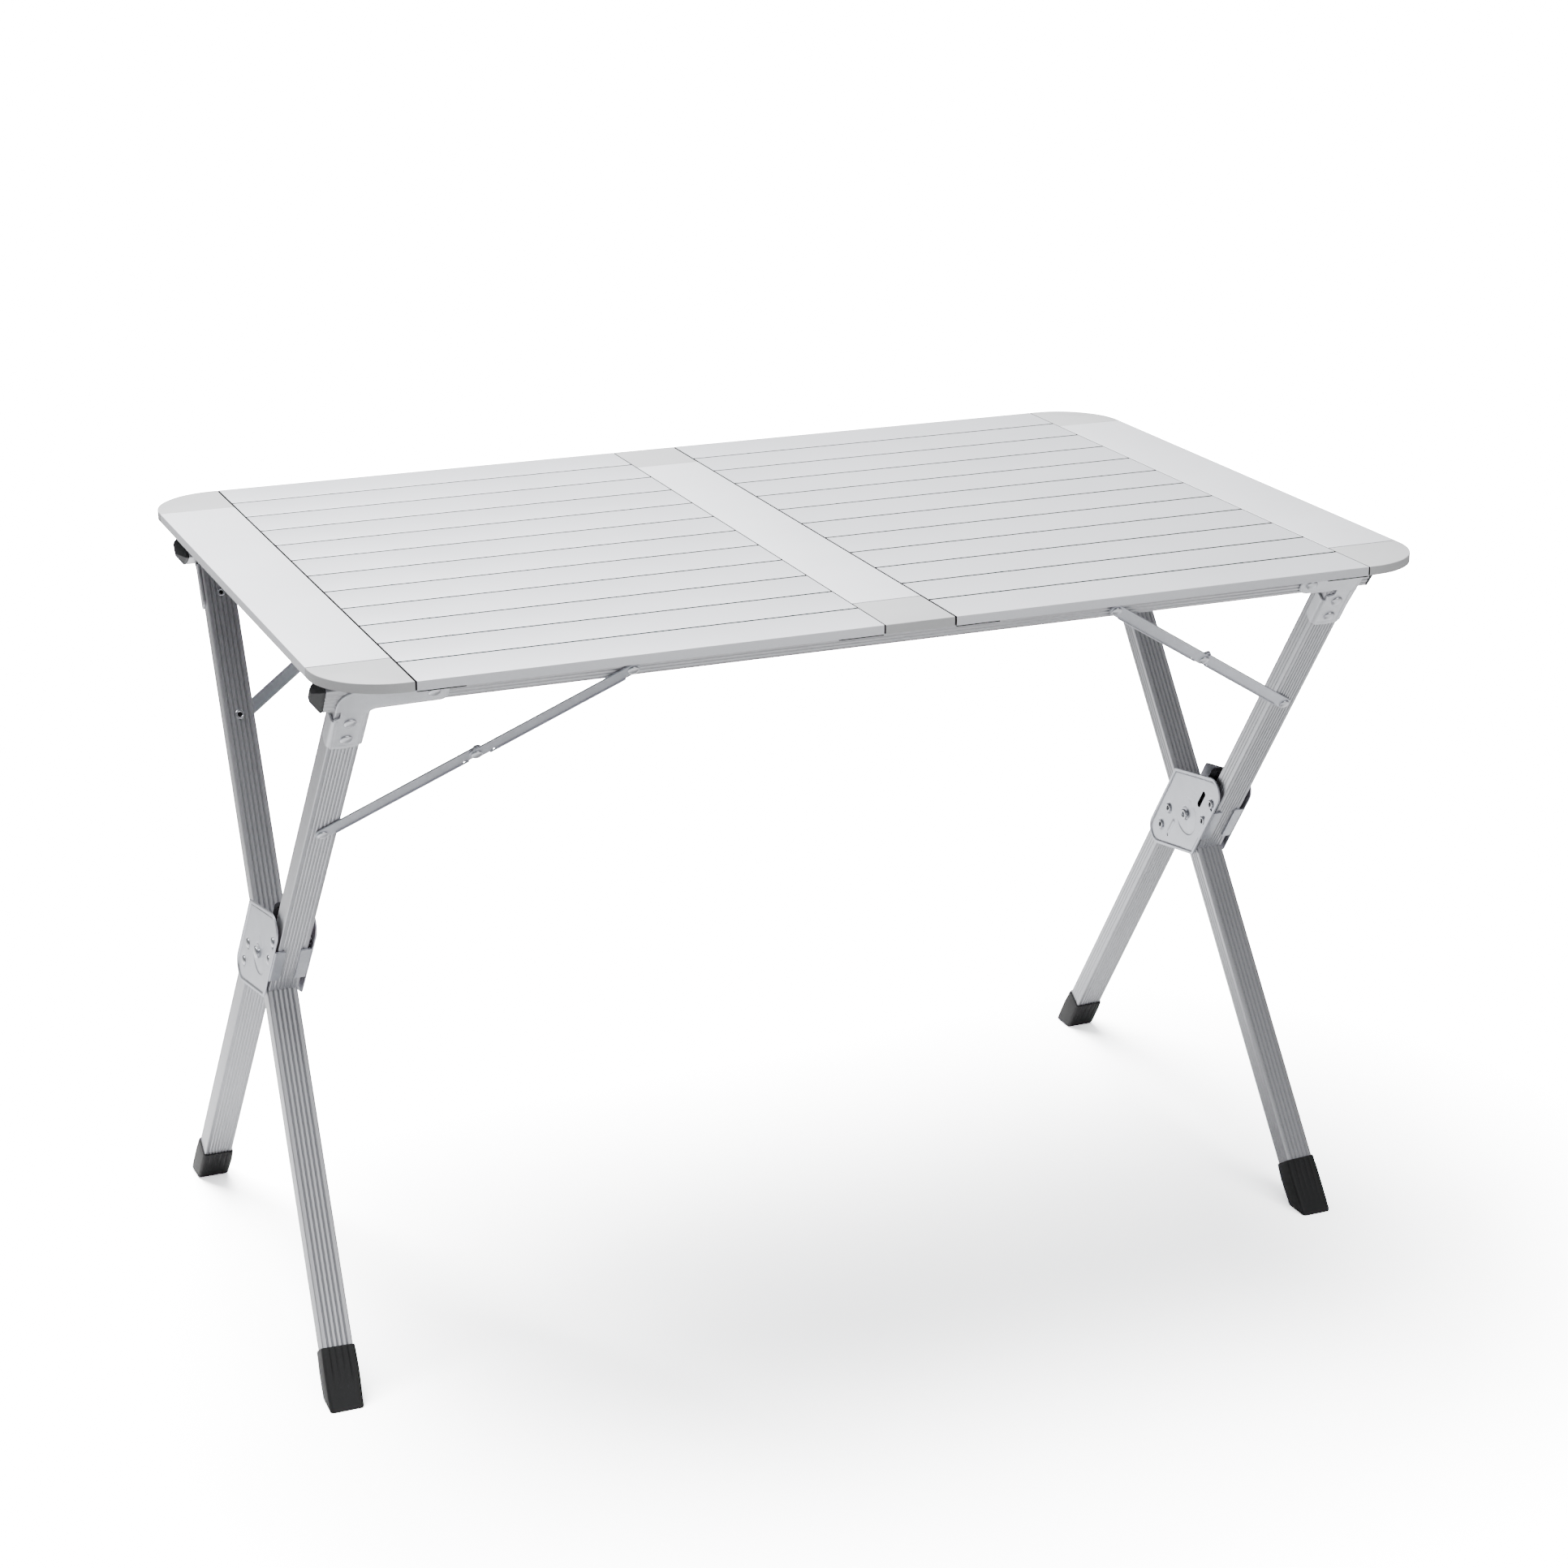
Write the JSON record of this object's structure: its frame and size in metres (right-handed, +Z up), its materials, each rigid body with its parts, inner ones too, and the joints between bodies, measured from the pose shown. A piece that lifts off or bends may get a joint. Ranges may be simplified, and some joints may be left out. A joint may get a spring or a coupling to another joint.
{
  "type": "folding side table",
  "caption": "Folding camping side table: slatted aluminium top that lifts off two rail-and-leg frames crossing at sprung locking hinge joints, with folding braces and boots.",
  "frame": {"origin": "on the floor, under the centre of the table's bounding box", "axes": "+X along the table's length to the right, +Y to the back, +Z up"},
  "size_m": [1.1048, 0.72, 0.754],
  "materials": {
    "slat_aluminium": "satin anodised",
    "strip_aluminium": "satin anodised",
    "tube_aluminium": "satin anodised, ribbed",
    "pressed_steel": "zinc plated",
    "rivet_steel": "bright",
    "cap_plastic": "light grey, satin",
    "plug_plastic": "dark grey",
    "boot_rubber": "matt black",
    "lever_plastic": "black"
  },
  "bodies": {
    "front_frame": {"arm_rivet_front_left": "rivet_steel", "arm_rivet_front_right": "rivet_steel", "boot_back_left": "boot_rubber", "boot_back_right": "boot_rubber", "brace_leg_front_left": "pressed_steel", "brace_leg_front_right": "pressed_steel", "brace_rail_front_left": "pressed_steel", "brace_rail_front_right": "pressed_steel", "bracket_front_left": "pressed_steel", "bracket_front_right": "pressed_steel", "leg_front_lower_left": "tube_aluminium", "leg_front_lower_right": "tube_aluminium", "leg_front_upper_left": "tube_aluminium", "leg_front_upper_right": "tube_aluminium", "pivot_left": "rivet_steel", "pivot_right": "rivet_steel", "plate_inner_left": "pressed_steel", "plate_inner_right": "pressed_steel", "plate_outer_left": "pressed_steel", "plate_outer_right": "pressed_steel", "plug_front_left": "plug_plastic", "plug_front_right": "plug_plastic", "rail_front": "tube_aluminium"},
    "back_frame": {"arm_rivet_back_left": "rivet_steel", "arm_rivet_back_right": "rivet_steel", "boot_front_left": "boot_rubber", "boot_front_right": "boot_rubber", "brace_leg_back_left": "pressed_steel", "brace_leg_back_right": "pressed_steel", "brace_rail_back_left": "pressed_steel", "brace_rail_back_right": "pressed_steel", "bracket_back_left": "pressed_steel", "bracket_back_right": "pressed_steel", "leg_back_left": "tube_aluminium", "leg_back_right": "tube_aluminium", "plug_back_left": "plug_plastic", "plug_back_right": "plug_plastic", "rail_back": "tube_aluminium", "saddle_inner_left": "pressed_steel", "saddle_inner_right": "pressed_steel", "saddle_outer_left": "pressed_steel", "saddle_outer_right": "pressed_steel"},
    "table_top": {"centre_cap_back": "cap_plastic", "centre_cap_front": "cap_plastic", "centre_strip": "strip_aluminium", "corner_cap_back_left": "cap_plastic", "corner_cap_back_right": "cap_plastic", "corner_cap_front_left": "cap_plastic", "corner_cap_front_right": "cap_plastic", "edge_slat_back_left": "slat_aluminium", "edge_slat_back_right": "slat_aluminium", "edge_slat_front_left": "slat_aluminium", "edge_slat_front_right": "slat_aluminium", "end_strip_left": "strip_aluminium", "end_strip_right": "strip_aluminium", "slat_mat_left": "slat_aluminium", "slat_mat_right": "slat_aluminium"},
    "lever_left": {"lock_lever_left": "lever_plastic"},
    "lever_right": {"lock_lever_right": "lever_plastic"}
  },
  "joints": [
    {"name": "scissor", "type": "hinge", "parent": "front_frame", "child": "back_frame", "pos_m": [0, 0.012, 0.376], "axis": [1, 0, 0], "range_deg": [0, 66]},
    {"name": "top_lift", "type": "slide", "parent": "front_frame", "child": "table_top", "axis": [0, 0, 1], "range_m": [0, 0.36]},
    {"name": "lever_slide_left", "type": "slide", "parent": "front_frame", "child": "lever_left", "axis": [0.0335, -0.5761, 0.8167], "range_m": [0, 0.008], "stiffness_N_per_m": 300},
    {"name": "lever_slide_right", "type": "slide", "parent": "front_frame", "child": "lever_right", "axis": [-0.0335, -0.5761, 0.8167], "range_m": [0, 0.008], "stiffness_N_per_m": 300}
  ],
  "couplings": [
    {"joint": "top_lift", "follows": "scissor", "m_per_rad": 0.3}
  ]
}
